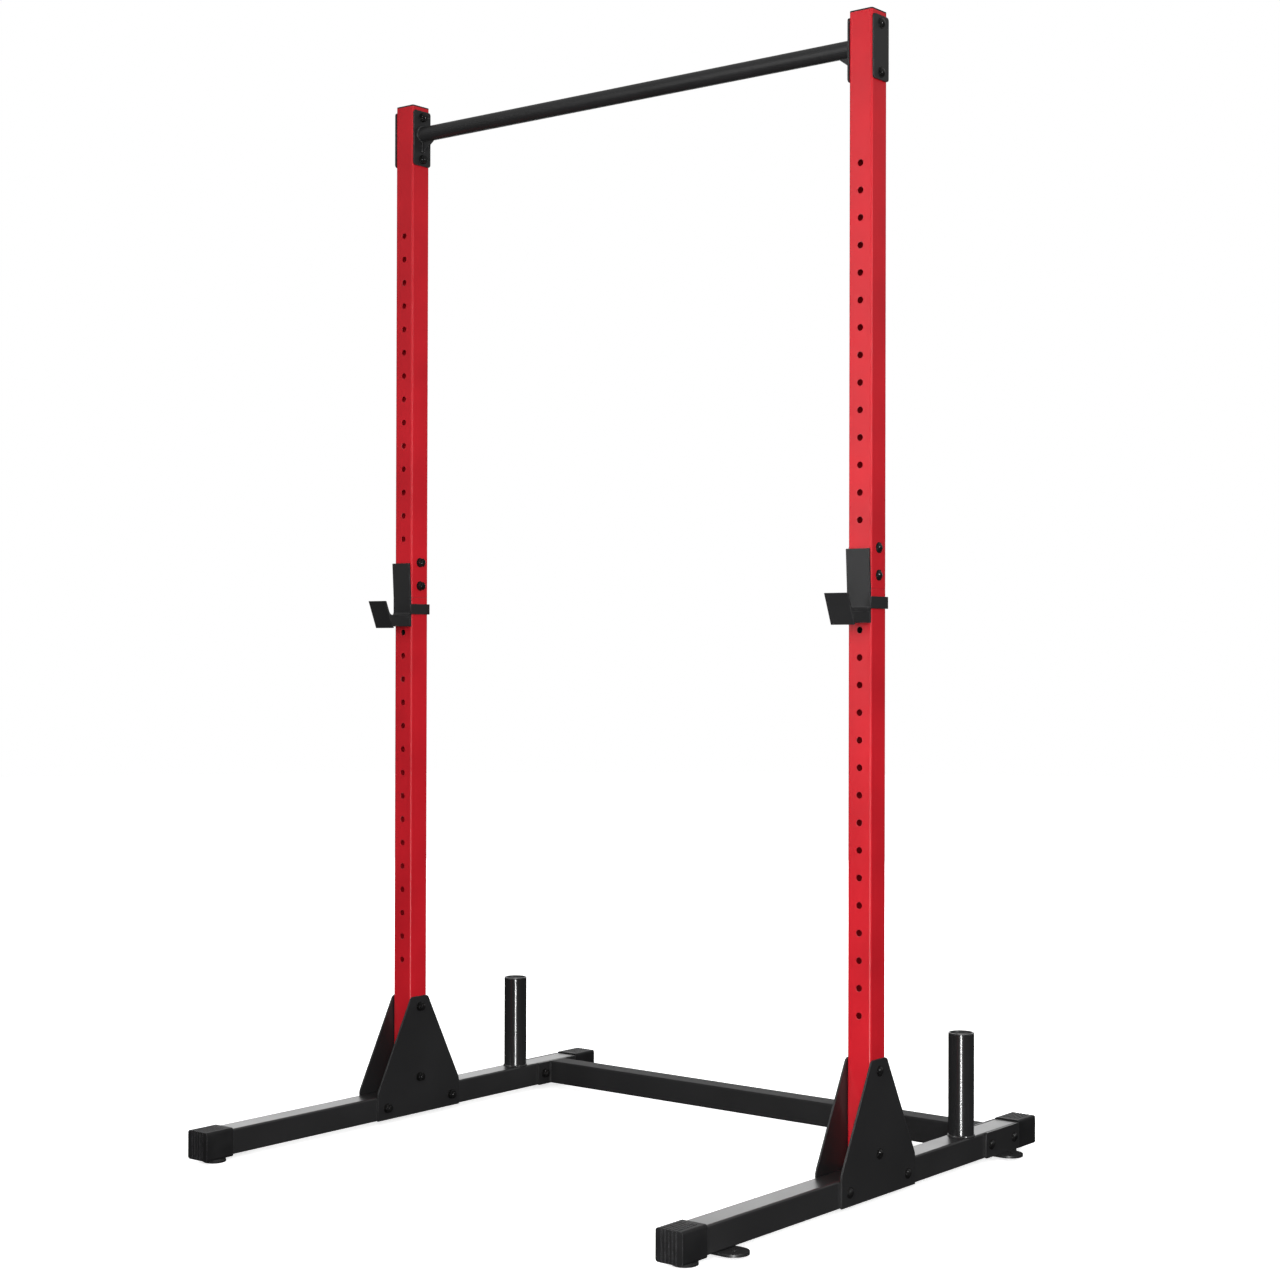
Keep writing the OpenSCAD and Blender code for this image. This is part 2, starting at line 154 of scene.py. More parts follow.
def worn_surface(name, dark, light, clouds, edges, patches, edge_tone, gloss, relief, sheen, metal=0.0):
    """A surface whose colour and gloss drift, with a fine relief, paler along its edges: rubbed there, and
    on moulded plastic also a painted highlight.

    clouds: scale, detail, and the two levels between which dark turns to light
    edges: radius, how far the surface has to turn for the first and for the full edge tone, most edge tone
    patches: scale, detail and two levels of the noise that breaks the edge tone up, or None
    gloss: least and most roughness; relief: scale, detail, strength and height
    """
    surface = bpy.data.materials.new(name)
    surface.use_nodes = True
    n, link = surface.node_tree.nodes, surface.node_tree.links.new
    shader = n["Principled BSDF"]
    where = n.new("ShaderNodeTexCoord")

    def noise(scale, detail):
        made = n.new("ShaderNodeTexNoise")
        made.inputs["Scale"].default_value = scale
        made.inputs["Detail"].default_value = detail
        link(where.outputs["Object"], made.inputs["Vector"])
        return made.outputs["Fac"]

    def spread(value, *limits):
        made = n.new("ShaderNodeMapRange")
        for socket, limit in zip(("From Min", "From Max", "To Min", "To Max"), limits):
            made.inputs[socket].default_value = limit
        link(value, made.inputs["Value"])
        return made.outputs["Result"]

    cloud = noise(*clouds[:2])
    tint = n.new("ShaderNodeValToRGB")
    for stop, level, tone in zip(tint.color_ramp.elements, clouds[2:], (dark, light)):
        stop.position = level
        stop.color = (*tone, 1)
    link(cloud, tint.inputs["Fac"])

    # Where the surface turns an edge, the film is thin and gets rubbed; on moulded plastic the paler edge
    # tone mixed in here is also a painted highlight
    geometry, round_edge = n.new("ShaderNodeNewGeometry"), n.new("ShaderNodeBevel")
    edge_radius, first_edge_turn, full_edge_turn, most_edge_tone = edges
    round_edge.samples = 4
    round_edge.inputs["Radius"].default_value = edge_radius
    turn = n.new("ShaderNodeVectorMath")
    turn.operation = "DOT_PRODUCT"
    link(geometry.outputs["Normal"], turn.inputs[0])
    link(round_edge.outputs["Normal"], turn.inputs[1])
    edge_amount = spread(turn.outputs["Value"], first_edge_turn, full_edge_turn, 0.0, most_edge_tone)
    if patches:
        broken = n.new("ShaderNodeMath")
        broken.operation = "MULTIPLY"
        link(edge_amount, broken.inputs[0])
        link(spread(noise(*patches[:2]), *patches[2:]), broken.inputs[1])
        edge_amount = broken.outputs["Value"]
    mixed = n.new("ShaderNodeMix")
    mixed.data_type = "RGBA"
    mixed.inputs[7].default_value = (*edge_tone, 1)
    link(edge_amount, mixed.inputs[0])
    link(tint.outputs["Color"], mixed.inputs[6])
    link(mixed.outputs[2], shader.inputs["Base Color"])
    link(spread(cloud, 0.0, 1.0, *gloss), shader.inputs["Roughness"])

    bump = n.new("ShaderNodeBump")
    bump.inputs["Strength"].default_value, bump.inputs["Distance"].default_value = relief[2:]
    link(noise(*relief[:2]), bump.inputs["Height"])
    link(bump.outputs["Normal"], shader.inputs["Normal"])
    shader.inputs["Specular IOR Level"].default_value = sheen
    shader.inputs["Metallic"].default_value = metal
    return surface


def powder_coat(name, colour, edge_tone, roughness, sheen, peel=0.35):
    """Baked powder over steel: orange peel, faint clouding and rubbed paint on the edges."""
    return worn_surface(
        name, [c * 0.88 for c in colour], [c * 1.12 for c in colour],
        clouds=(7.0, 4.0, 0.3, 0.7), edges=(0.0016, 0.995, 0.93, 1.0),
        patches=(60.0, 5.0, 0.45, 0.72), edge_tone=edge_tone,
        gloss=(roughness - 0.05, roughness + 0.06), relief=(620.0, 2.0, peel, 0.00012), sheen=sheen)


BLACK, RUBBED_BLACK = (0.0135, 0.0135, 0.014), (0.08, 0.08, 0.08)
black_coat = powder_coat("black_powder_coat", BLACK, RUBBED_BLACK, roughness=0.40, sheen=0.42)
runner_coat = powder_coat("black_powder_coat_runners", (0.016, 0.016, 0.0165), (0.09, 0.09, 0.09),
                          roughness=0.34, sheen=0.6)

runner_left = square_tube(
    "runner_left",
    (-SIDE_X - TUBE / 2, -RUNNER_END, RUNNER_LOW), (-SIDE_X + TUBE / 2, RUNNER_END, RUNNER_TOP), 1)
deburr(runner_left, 0.0004)
runner_left.data.materials.append(runner_coat)
runner_right = second_of(runner_left, "runner_right", shift=(2 * SIDE_X, 0, 0))
for runner, node in ((runner_left, "base_tube_left"), (runner_right, "base_tube_right")):
    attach(runner, "frame")
    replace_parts(runner, node)

# ---- Runner end caps ----
# A sleeve of moulded black nylon is pushed over each end of a runner. Its walls are 3 mm
# thick, its long corners are rounded, and five fine grooves run up the end and back
# along the top.
CAP_WALL, CAP_LEN, CAP_END = 0.003, 0.067, 0.585
CAP_LOW, CAP_TOP = 0.009, 0.065
GROOVE_PITCH, GROOVE_WIDTH, GROOVE_DEPTH, GROOVE_RUN = 0.0075, 0.0024, 0.002, 0.055
CAP_CORNER = 0.005


def moulded_plastic(name, colour, roughness, grain, sheen):
    """Moulded plastic: a fine spark-eroded grain, slight flow clouding, and edges paler from scuffs and a
    painted highlight.
    """
    return worn_surface(
        name, [c * 0.8 for c in colour], [c * 1.2 for c in colour],
        clouds=(22.0, 3.0, 0.35, 0.65), edges=(0.001, 0.99, 0.9, 1.0),
        # The edge tone, 13 times the colour, is scuffing plus a painted highlight along the edges and
        # groove rims.
        patches=(140.0, 3.0, 0.0, 1.0), edge_tone=[c * 13 for c in colour],
        gloss=(roughness - 0.06, roughness + 0.08), relief=(grain, 3.0, 0.4, 0.00015), sheen=sheen)


cap_nylon = moulded_plastic("black_nylon", (0.010, 0.010, 0.0104), roughness=0.55, grain=1500.0, sheen=0.13)

cap_half = (CAP_TOP - CAP_LOW) / 2
cap_front_left = start_from(
    "cube", "end_cap_front_left", size=1, location=(-SIDE_X, -CAP_END + CAP_LEN / 2, CAP_LOW + cap_half),
    scale=(2 * cap_half, CAP_LEN, 2 * cap_half))
pick("EDGE", lambda at, run: abs(run.y) > 0.9)
bpy.ops.mesh.bevel(offset=CAP_CORNER, segments=6, affect="EDGES")
pick("FACE", lambda at, out: out.y > 0.9)
bpy.ops.mesh.inset(thickness=CAP_WALL - 0.0001)
pull(y=-(CAP_LEN - 0.005))
groove_edges = [k * GROOVE_PITCH + s * GROOVE_WIDTH / 2 for k in range(-2, 3) for s in (-1, 1)]
for x in groove_edges:
    bpy.ops.mesh.select_all(action="SELECT")
    bpy.ops.mesh.bisect(plane_co=(-SIDE_X + x, 0, 0), plane_no=(1, 0, 0))
bpy.ops.mesh.select_all(action="SELECT")
bpy.ops.mesh.bisect(plane_co=(0, -CAP_END + GROOVE_RUN, 0), plane_no=(0, 1, 0))


def in_groove(at, out):
    across = (at.x + SIDE_X) / GROOVE_PITCH
    on_strip = abs(across - round(across)) * GROOVE_PITCH < GROOVE_WIDTH / 2 and abs(across) < 2.3
    on_end = out.y < -0.9 and at.y < -CAP_END + 0.001
    on_top = out.z > 0.9 and at.z > CAP_TOP - 0.001 and at.y < -CAP_END + GROOVE_RUN
    return on_strip and (on_end or on_top)


pick("FACE", in_groove)
bpy.ops.mesh.extrude_region_shrink_fatten(
    TRANSFORM_OT_shrink_fatten={"value": -GROOVE_DEPTH, "use_even_offset": True})
deburr(cap_front_left, 0.0003)
cap_front_left.data.materials.append(cap_nylon)
caps = {
    "front_cap_left": cap_front_left,
    "front_cap_right": second_of(cap_front_left, "end_cap_front_right", shift=(2 * SIDE_X, 0, 0)),
    "rear_cap_left": second_of(cap_front_left, "end_cap_rear_left", shift=(-2 * SIDE_X, 0, 0), turn=pi),
    "rear_cap_right": second_of(cap_front_left, "end_cap_rear_right", turn=pi),
}
for node, cap in caps.items():
    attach(cap, "frame")
    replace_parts(cap, node)

# ---- Rubber feet ----
# Four round rubber pads, 45 mm across, lift the runners 9 mm off the floor. Each is moulded
# with a groove round its side and a bevelled foot, and is pressed into the part above it.
FOOT_R, FOOT_H = 0.0225, 0.009
FRONT_FOOT_Y, REAR_FOOT_Y = -0.542, 0.512
SIDE_GROOVE_LOW, SIDE_GROOVE_TOP, SIDE_GROOVE_DEPTH = 0.0045, 0.0065, 0.0009
FOOT_BEVEL, FOOT_RIM, FOOT_RECESS = 0.0011, 0.004, 0.0006


def join_all(parts, name):
    """Joins several parts into one piece with its own name."""
    if bpy.context.mode != "OBJECT":
        bpy.ops.object.mode_set(mode="OBJECT")
    bpy.ops.object.select_all(action="DESELECT")
    for one in parts:
        one.select_set(True)
    bpy.context.view_layer.objects.active = parts[0]
    if len(parts) > 1:
        bpy.ops.object.join()
    parts[0].name = parts[0].data.name = name
    parts[0].select_set(False)
    return parts[0]


def rubber_foot(name, y, top):
    foot = start_from("cylinder", name, vertices=48, radius=FOOT_R, depth=FOOT_H,
                      location=(-SIDE_X, y, FOOT_H / 2))
    for z in (SIDE_GROOVE_LOW, SIDE_GROOVE_TOP):
        bpy.ops.mesh.select_all(action="SELECT")
        bpy.ops.mesh.bisect(plane_co=(0, 0, z), plane_no=(0, 0, 1))
    pick("FACE", lambda at, out: abs(out.z) < 0.1 and SIDE_GROOVE_LOW < at.z < SIDE_GROOVE_TOP)
    bpy.ops.mesh.extrude_region_shrink_fatten(
        TRANSFORM_OT_shrink_fatten={"value": -SIDE_GROOVE_DEPTH, "use_even_offset": True})
    pick("EDGE", lambda at, run: at.z < 0.0001 and abs(run.z) < 0.1)
    bpy.ops.mesh.bevel(offset=FOOT_BEVEL, segments=3, affect="EDGES")
    pick("FACE", lambda at, out: out.z < -0.999 and at.z < 0.0005)
    bpy.ops.mesh.inset(thickness=FOOT_RIM)
    pull(z=FOOT_RECESS)
    if top > FOOT_H:
        pick("FACE", lambda at, out: out.z > 0.9)
        edge_y = CAP_END - CAP_LEN - 0.0001
        bpy.ops.mesh.bisect(plane_co=(0, edge_y, 0), plane_no=(0, 1, 0))
        pick("FACE", lambda at, out: out.z > 0.9 and at.y < edge_y)
        pull(z=top - FOOT_H)
    return deburr(foot, 0.0003)


foot_rubber = moulded_plastic("black_rubber", (0.009, 0.009, 0.009), roughness=0.62, grain=700.0, sheen=0.2)
front_foot = rubber_foot("front_foot_left", FRONT_FOOT_Y, FOOT_H)
rear_foot = rubber_foot("rear_foot_left", REAR_FOOT_Y, RUNNER_LOW)
across = (2 * SIDE_X, 0, 0)
feet = join_all([front_foot, rear_foot, second_of(front_foot, "front_foot_right", shift=across),
                 second_of(rear_foot, "rear_foot_right", shift=across)], "rubber_feet")
feet.data.materials.append(foot_rubber)
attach(feet, "frame")
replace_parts(feet, "foot_pads")

# ---- Floor tabs ----
# Near each end of a runner a 5 mm plate with a round nose is welded under its outer side,
# with a hole for a floor bolt. It is cut from flat bar and coated with the runner.
TAB_T, TAB_R, TAB_REACH, TAB_Y, TAB_HOLE_R = 0.005, 0.0275, 0.04, 0.46, 0.0055
TAB_NOSE_X = -(SIDE_X + TUBE / 2 + TAB_REACH - TAB_R)
TAB_HOLE_X = -(SIDE_X + TUBE / 2 + 0.015)


def cut_away(part, bit):
    """Cuts one part out of another, and throws the cutting part away."""
    bpy.ops.object.mode_set(mode="OBJECT")
    bpy.ops.object.select_all(action="DESELECT")
    bpy.context.view_layer.objects.active = part
    part.select_set(True)
    cut = part.modifiers.new("cut", "BOOLEAN")
    cut.operation, cut.solver, cut.object = "DIFFERENCE", "EXACT", bit
    bpy.ops.object.modifier_apply(modifier=cut.name)
    bpy.data.objects.remove(bit)
    return part


tab = start_from("cylinder", "floor_tab", vertices=56, radius=TAB_R, depth=TAB_T,
                 location=(TAB_NOSE_X, -TAB_Y, RUNNER_LOW - TAB_T / 2))
bpy.ops.mesh.select_all(action="SELECT")
bpy.ops.mesh.bisect(plane_co=(TAB_NOSE_X, 0, 0), plane_no=(1, 0, 0), use_fill=True, clear_outer=True)
pick("FACE", lambda at, out: out.x > 0.99)
pull(x=-SIDE_X - TAB_NOSE_X)
tab_bit = start_from("cylinder", "floor_bolt_bit", vertices=40, radius=TAB_HOLE_R, depth=0.03,
                     location=(TAB_HOLE_X, -TAB_Y, RUNNER_LOW))
cut_away(tab, tab_bit)
deburr(tab, 0.0008)
rear_tab = second_of(tab, "floor_tab_rear", shift=(0, 2 * TAB_Y, 0))
tabs_left = join_all([tab, rear_tab], "bolt_down_tabs_left")
tabs_left.data.materials.append(black_coat)
tabs_right = second_of(tabs_left, "bolt_down_tabs_right", turn=pi)
for tabs, node in ((tabs_left, "floor_tabs_left"), (tabs_right, "floor_tabs_right")):
    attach(tabs, "frame")
    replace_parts(tabs, node)

# ---- Red uprights ----
# Each upright is two 1.05 m lengths of 50 mm square tube, drilled through from front to
# back every 50 mm with 12 mm holes, except where the splice bolts cross. The hole rims are
# deburred before the red powder is baked on.
SEAM_Z, UPRIGHT_TOP = 1.1145, 2.167
HOLE_R, HOLE_PITCH, FIRST_HOLE = 0.006, 0.05, 0.3395


def upright_half(name, low_z, first_z, holes):
    half = square_tube(name, (-SIDE_X - TUBE / 2, -TUBE / 2, low_z),
                       (-SIDE_X + TUBE / 2, TUBE / 2, low_z + SEAM_Z - RUNNER_TOP), 2)
    bit = start_from("cylinder", "hole_bit", vertices=36, radius=HOLE_R, depth=0.08,
                     location=(-SIDE_X, 0, first_z), rotation=(pi / 2, 0, 0))
    bpy.ops.object.mode_set(mode="OBJECT")
    row = bit.modifiers.new("row_of_holes", "ARRAY")
    row.count, row.use_relative_offset, row.use_constant_offset = holes, False, True
    row.constant_offset_displace = (0, 0, HOLE_PITCH)
    bpy.ops.object.modifier_apply(modifier=row.name)
    return deburr(cut_away(half, bit), 0.0006)


red_coat = powder_coat("red_powder_coat", (0.43, 0.0075, 0.0145), (0.16, 0.10, 0.10),
                       roughness=0.36, sheen=0.36)
lower_left = upright_half("upright_lower_left", RUNNER_TOP, FIRST_HOLE, 16)
upper_left = upright_half("upright_upper_left", SEAM_Z, FIRST_HOLE + 18 * HOLE_PITCH, 14)
for half in (lower_left, upper_left):
    half.data.materials.append(red_coat)
uprights = {
    "lower_upright_left": lower_left,
    "upper_upright_left": upper_left,
    "lower_upright_right": second_of(lower_left, "upright_lower_right", shift=across),
    "upper_upright_right": second_of(upper_left, "upright_upper_right", shift=across),
}
for node, half in uprights.items():
    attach(half, "frame")
    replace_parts(half, node)

# ---- Splice sleeves ----
# A 200 mm length of smaller square tube is welded inside each lower half and slides up
# inside the upper half. It is left as dark phosphated steel, seen only through the holes.


def dark_metal(name, colour, tarnish, bare, roughness, metal, sheen):
    """Blackened steel: an uneven dark film, with a little bare metal where edges rub."""
    return worn_surface(
        name, colour, tarnish, clouds=(85.0, 4.0, 0.35, 0.7), edges=(0.0006, 0.98, 0.85, 0.6),
        patches=None, edge_tone=bare, gloss=(roughness - 0.08, roughness + 0.10),
        relief=(1400.0, 4.0, 0.25, 0.00006), sheen=sheen, metal=metal)


dark_steel = dark_metal(
    "bare_dark_steel", (0.035, 0.034, 0.034), tarnish=(0.06, 0.055, 0.05), bare=(0.16, 0.155, 0.15),
    roughness=0.45, metal=0.8, sheen=0.5)
for node in ("splice_sleeve_left", "splice_sleeve_right"):
    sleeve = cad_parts[node]
    sleeve.data.materials.clear()
    sleeve.data.materials.append(dark_steel)

# ---- Upright top plugs ----
# A moulded plug is tapped into the top of each upright. Its flat head sits flush with the
# tube's outside and has a shallow raised panel.
PLUG_HEAD, PLUG_LEN = 0.0025, 0.014
PLUG_RIM, PANEL_SLOPE, PANEL_RISE, PLUG_PLAY = 0.003, 0.001, 0.0006, 0.0002
plug_left = start_from("cube", "upright_plug_left", size=1, scale=(TUBE, TUBE, PLUG_HEAD),
                       location=(-SIDE_X, 0, UPRIGHT_TOP + PLUG_HEAD / 2))
pick("EDGE", lambda at, run: abs(run.z) > 0.9)
bpy.ops.mesh.bevel(offset=TUBE_CORNER, segments=5, affect="EDGES")
pick("FACE", lambda at, out: out.z > 0.9)
bpy.ops.mesh.inset(thickness=PLUG_RIM)
bpy.ops.mesh.inset(thickness=PANEL_SLOPE, depth=-PANEL_RISE)
pick("FACE", lambda at, out: out.z < -0.9)
bpy.ops.mesh.inset(thickness=TUBE_WALL + PLUG_PLAY)
pull(z=-PLUG_LEN)
deburr(plug_left, 0.0005)
plug_left.data.materials.append(cap_nylon)
plug_right = second_of(plug_left, "upright_plug_right", shift=across)
for plug, node in ((plug_left, "top_plug_left"), (plug_right, "top_plug_right")):
    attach(plug, "frame")
    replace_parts(plug, node)

# ---- Gusset plates ----
# A pair of 4 mm steel plates clamps each upright to its runner: wide at the floor, with a
# low knee, and tapering to the tube's width. Laser cut with square feet, powder coated.
PLATE_T, CORNER_R = 0.004, 0.006
GUSSET_HALF, GUSSET_KNEE, GUSSET_TOP = 0.123, 0.07, 0.2615


def cut_from_sheet(name, x, thickness, outline, soft_corner=None, corner=CORNER_R, steps=5):
    """Traces an outline of (y, z) points at one x, closes it and gives it the sheet's thickness."""
    start_from("plane", name, size=0.01, location=(x, *outline[0]), rotation=(0, pi / 2, 0))
    bpy.ops.mesh.select_all(action="SELECT")
    bpy.ops.mesh.merge(type="CENTER")
    bpy.ops.mesh.select_mode(type="VERT")
    bpy.ops.mesh.select_all(action="SELECT")
    for here, there in zip(outline, outline[1:]):
        pull(y=there[0] - here[0], z=there[1] - here[1])
    bpy.ops.mesh.select_all(action="SELECT")
    bpy.ops.mesh.edge_face_add()
    pull(x=thickness)
    bpy.ops.mesh.select_all(action="SELECT")
    bpy.ops.mesh.normals_make_consistent(inside=False)
    if corner:
        pick("EDGE", lambda at, run: abs(run.x) > 0.99 and (soft_corner is None or soft_corner(at)))
        bpy.ops.mesh.bevel(offset=corner, segments=steps, affect="EDGES")
    return bpy.context.object


gusset = cut_from_sheet("gusset_outer_left_plate", -SIDE_X - TUBE / 2 - PLATE_T, PLATE_T, [
    (-GUSSET_HALF, RUNNER_LOW), (GUSSET_HALF, RUNNER_LOW), (GUSSET_HALF, GUSSET_KNEE),
    (TUBE / 2, GUSSET_TOP), (-TUBE / 2, GUSSET_TOP), (-GUSSET_HALF, GUSSET_KNEE)],
    soft_corner=lambda at: at.z > RUNNER_LOW + 0.001)
deburr(gusset, 0.0006)
gusset.data.materials.append(black_coat)
gussets = {
    "gusset_outer_left": gusset,
    "gusset_inner_left": second_of(gusset, "gusset_inner_left_plate", shift=(TUBE + PLATE_T, 0, 0)),
    "gusset_inner_right": second_of(gusset, "gusset_inner_right_plate",
                                    shift=(2 * SIDE_X, 0, 0)),
    "gusset_outer_right": second_of(gusset, "gusset_outer_right_plate",
                                    shift=(2 * SIDE_X + TUBE + PLATE_T, 0, 0)),
}
for node, plate in gussets.items():
    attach(plate, "frame")
    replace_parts(plate, node)

# ---- Pull-up bar ----
# Round 32 mm steel tube with a 2 mm wall runs between the uprights near their tops. It is
# welded at each end to a 4 mm plate, with a small web under it, and the whole is coated.
BAR_R, BAR_Z = 0.016, 2.1075
BAR_END = SIDE_X - TUBE / 2 - PLATE_T
BAR_PLATE_H, BAR_PLATE_Z = 0.118, BAR_Z - 0.008
WEB_X, WEB_Z, WEB_LAP = 0.032, 0.024, 0.002
BAR_BEAD, WEB_BEAD = 0.0026, 0.0018
bar = start_from("cylinder", "pull_up_bar_tube", vertices=72, radius=BAR_R, depth=2 * BAR_END,
                 location=(0, 0, BAR_Z), rotation=(0, pi / 2, 0))
pick("FACE", lambda at, out: abs(out.x) > 0.9)
bpy.ops.mesh.inset(thickness=TUBE_WALL)
bpy.ops.mesh.bridge_edge_loops()
bpy.ops.mesh.select_all(action="SELECT")
bpy.ops.mesh.normals_make_consistent(inside=False)
deburr(bar, 0.0003)
bar.data.materials.append(black_coat)
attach(bar, "frame")
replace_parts(bar, "pull_up_bar")


def weld_ring(name, centre, along, radius, bead, ripples=56):
    """A fillet weld round a tube: a bead laid in short overlapping ripples."""
    turned = {"x": (0, pi / 2, 0), "z": (0, 0, 0)}[along]
    weld = start_from("torus", name, location=centre, rotation=turned, major_radius=radius,
                      minor_radius=bead, major_segments=2 * ripples, minor_segments=8)
    middle = Vector(centre)

    def between_ripples(at):
        out = at - middle
        angle = atan2(out.y, out.z if along == "x" else out.x)
        return round(angle / pi * ripples) % 2 == 1

    pick("VERT", between_ripples)
    bpy.ops.transform.shrink_fatten(value=bead * 0.16)
    return weld


def weld_line(name, start, end, bead):
    """A straight fillet weld, laid in ripples from one point to another."""
    start, end = Vector(start), Vector(end)
    run = end - start
    ripples = max(4, round(run.length / (bead * 0.9)))
    weld = start_from("cylinder", name, vertices=8, radius=bead, depth=run.length,
                      location=(start + end) / 2, rotation=run.to_track_quat("Z", "Y").to_euler())
    way = run.normalized()
    pick("EDGE", lambda at, lie: abs(lie.dot(way)) > 0.99)
    bpy.ops.mesh.subdivide(number_cuts=ripples)
    step = run.length / (ripples + 1)
    pick("VERT", lambda at: round((at - start).dot(way) / step) % 2 == 1)
    bpy.ops.transform.shrink_fatten(value=bead * 0.16)
    return weld


bar_plate = cut_from_sheet("bar_end_plate_left_piece", -BAR_END - PLATE_T, PLATE_T, [
    (-TUBE / 2, BAR_PLATE_Z - BAR_PLATE_H / 2), (TUBE / 2, BAR_PLATE_Z - BAR_PLATE_H / 2),
    (TUBE / 2, BAR_PLATE_Z + BAR_PLATE_H / 2), (-TUBE / 2, BAR_PLATE_Z + BAR_PLATE_H / 2)])
deburr(bar_plate, 0.0006)
bar_plate.data.materials.append(black_coat)
bar_backing = second_of(bar_plate, "bar_backing_plate_left_piece", shift=(-TUBE - PLATE_T, 0, 0))

web_low = BAR_Z - BAR_R
web = start_from("cube", "bar_web_left_piece", size=1,
                 location=(-BAR_END + WEB_X / 2, 0, web_low + WEB_LAP - (WEB_Z + WEB_LAP) / 2),
                 scale=(WEB_X, PLATE_T, WEB_Z + WEB_LAP))
pick("VERT", lambda at: at.x > -BAR_END + 0.001 and at.z < web_low - 0.01)
bpy.ops.transform.translate(value=(0, 0, WEB_Z - 0.001))
deburr(web, 0.0005)
web.data.materials.append(black_coat)
bar_weld = deburr(weld_ring("bar_weld_left", (-BAR_END + 0.0012, 0, BAR_Z), "x",
                          BAR_R + 0.0006, BAR_BEAD), 0)
web_welds = [
    deburr(weld_line("web_weld", (-BAR_END + 0.001, s * 0.0022, web_low - WEB_Z + 0.002),
                     (-BAR_END + 0.001, s * 0.0022, web_low), WEB_BEAD), 0)
    for s in (-1, 1)
]
bar_weld = join_all([bar_weld, *web_welds], "bar_welds_left")
bar_weld.data.materials.append(black_coat)
bar_fittings = {
    "bar_end_plate_left": bar_plate, "bar_backing_plate_left": bar_backing, "bar_web_left": web,
    "bar_end_plate_right": second_of(bar_plate, "bar_end_plate_right_piece", turn=pi),
    "bar_backing_plate_right": second_of(bar_backing, "bar_backing_plate_right_piece", turn=pi),
    "bar_web_right": second_of(web, "bar_web_right_piece", turn=pi),
}
for node, fitting in bar_fittings.items():
    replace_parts(fitting, node)
for fitting in (*bar_fittings.values(), bar_weld, second_of(bar_weld, "bar_welds_right", turn=pi)):
    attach(fitting, "frame")

# ---- Rear crossbar ----
# The same square tube joins the runners behind the uprights. A 130 mm plate is welded on
# each end and bolted through the runner to a matching plate on its far side.
CROSSBAR_Y, CROSSBAR_PLATE = 0.452, 0.13
CROSS_BEAD, BEAD_STOP = 0.0024, 0.004
crossbar = square_tube("crossbar_tube", (-BAR_END, CROSSBAR_Y - TUBE / 2, RUNNER_LOW),
                       (BAR_END, CROSSBAR_Y + TUBE / 2, RUNNER_TOP), 0)
deburr(crossbar, 0.0003)
flat_coat = powder_coat("black_powder_coat_flatter", BLACK, RUBBED_BLACK, roughness=0.66, sheen=0.2)
crossbar.data.materials.append(flat_coat)
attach(crossbar, "frame")
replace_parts(crossbar, "rear_crossbar")

cross_plate = cut_from_sheet("crossbar_end_plate_left_piece", -BAR_END - PLATE_T, PLATE_T, [
    (CROSSBAR_Y - CROSSBAR_PLATE / 2, RUNNER_LOW), (CROSSBAR_Y + CROSSBAR_PLATE / 2, RUNNER_LOW),
    (CROSSBAR_Y + CROSSBAR_PLATE / 2, RUNNER_TOP), (CROSSBAR_Y - CROSSBAR_PLATE / 2, RUNNER_TOP)],
    corner=CORNER_R / 2)
deburr(cross_plate, 0.0006)
cross_plate.data.materials.append(black_coat)
cross_fittings = {
    "crossbar_end_plate_left": cross_plate,
    "crossbar_backing_plate_left": second_of(
        cross_plate, "crossbar_backing_plate_left_piece", shift=(-TUBE - PLATE_T, 0, 0)),
    "crossbar_end_plate_right": second_of(
        cross_plate, "crossbar_end_plate_right_piece", shift=(2 * BAR_END + PLATE_T, 0, 0)),
    "crossbar_backing_plate_right": second_of(
        cross_plate, "crossbar_backing_plate_right_piece",
        shift=(2 * BAR_END + 2 * PLATE_T + TUBE, 0, 0)),
}
cross_welds = []
weld_x = -BAR_END + 0.0008
for s in (-1, 1):
    side_y = CROSSBAR_Y + s * (TUBE / 2 + 0.0004)
    cross_welds.append(deburr(weld_line(
        "cross_weld", (weld_x, side_y, RUNNER_LOW + BEAD_STOP), (weld_x, side_y, RUNNER_TOP - BEAD_STOP),
        CROSS_BEAD), 0))
cross_weld = join_all(cross_welds, "crossbar_welds_left")
cross_weld.data.materials.append(runner_coat)
for node, fitting in cross_fittings.items():
    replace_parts(fitting, node)
cross_weld_right = second_of(cross_weld, "crossbar_welds_right", shift=(-2 * weld_x, 0, 0))
for fitting in (*cross_fittings.values(), cross_weld, cross_weld_right):
    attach(fitting, "frame")

# ---- Plate posts ----
# A 50 mm round tube stands on each runner behind the upright to hold spare weight plates.
# It is welded all round its foot, coated black, and closed by a dished plastic plug.
POST_R, POST_WALL, POST_Y, POST_TOP, POST_BEAD = 0.025, 0.0025, 0.339, 0.262, 0.0028
DISH_SLOPE, DISH_DEPTH = 0.0012, 0.0042
post = start_from("cylinder", "plate_post_left_piece", vertices=80, radius=POST_R,
                  depth=POST_TOP - PLUG_HEAD - RUNNER_TOP,
                  location=(-SIDE_X, POST_Y, (POST_TOP - PLUG_HEAD + RUNNER_TOP) / 2))
pick("FACE", lambda at, out: abs(out.z) > 0.9)
bpy.ops.mesh.inset(thickness=POST_WALL)
bpy.ops.mesh.bridge_edge_loops()
bpy.ops.mesh.select_all(action="SELECT")
bpy.ops.mesh.normals_make_consistent(inside=False)
deburr(post, 0.0004)
